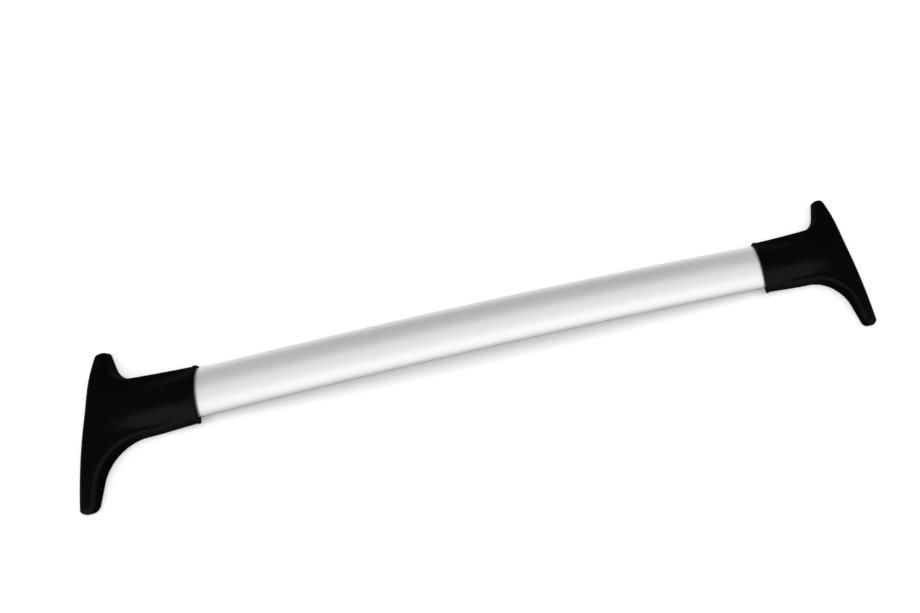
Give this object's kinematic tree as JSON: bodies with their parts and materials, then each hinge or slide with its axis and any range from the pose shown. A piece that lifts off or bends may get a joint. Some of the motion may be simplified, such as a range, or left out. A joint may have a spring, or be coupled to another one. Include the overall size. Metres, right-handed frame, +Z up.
{
  "type": "roof rack crossbar",
  "caption": "Roof rack crossbar: bowed arched aluminium bar with moulded T-shaped feet that bolt to side rails",
  "frame": {"origin": "middle of the footprint, on the ground that the feet stand on", "axes": "+X along the bar, +Y towards the short horns, +Z up"},
  "size_m": [1.061, 0.1998, 0.0475],
  "materials": {
    "bar_aluminium": "satin anodised",
    "foot_plastic": "fine moulded grain",
    "cast_aluminium": "as cast",
    "zinc_steel": "zinc plated",
    "plate_plastic": "plain moulded",
    "pad_rubber": "matt"
  },
  "bodies": {
    "root": {"crossbar": "bar_aluminium", "left_foot_shell": "foot_plastic", "left_stanchion": "cast_aluminium", "left_thread_inserts": "zinc_steel", "left_base_plate": "plate_plastic", "left_foot_pad": "pad_rubber", "left_bar_screws": "zinc_steel", "left_plate_screws": "zinc_steel", "right_foot_shell": "foot_plastic", "right_stanchion": "cast_aluminium", "right_thread_inserts": "zinc_steel", "right_base_plate": "plate_plastic", "right_foot_pad": "pad_rubber", "right_bar_screws": "zinc_steel", "right_plate_screws": "zinc_steel"}
  },
  "joints": []
}
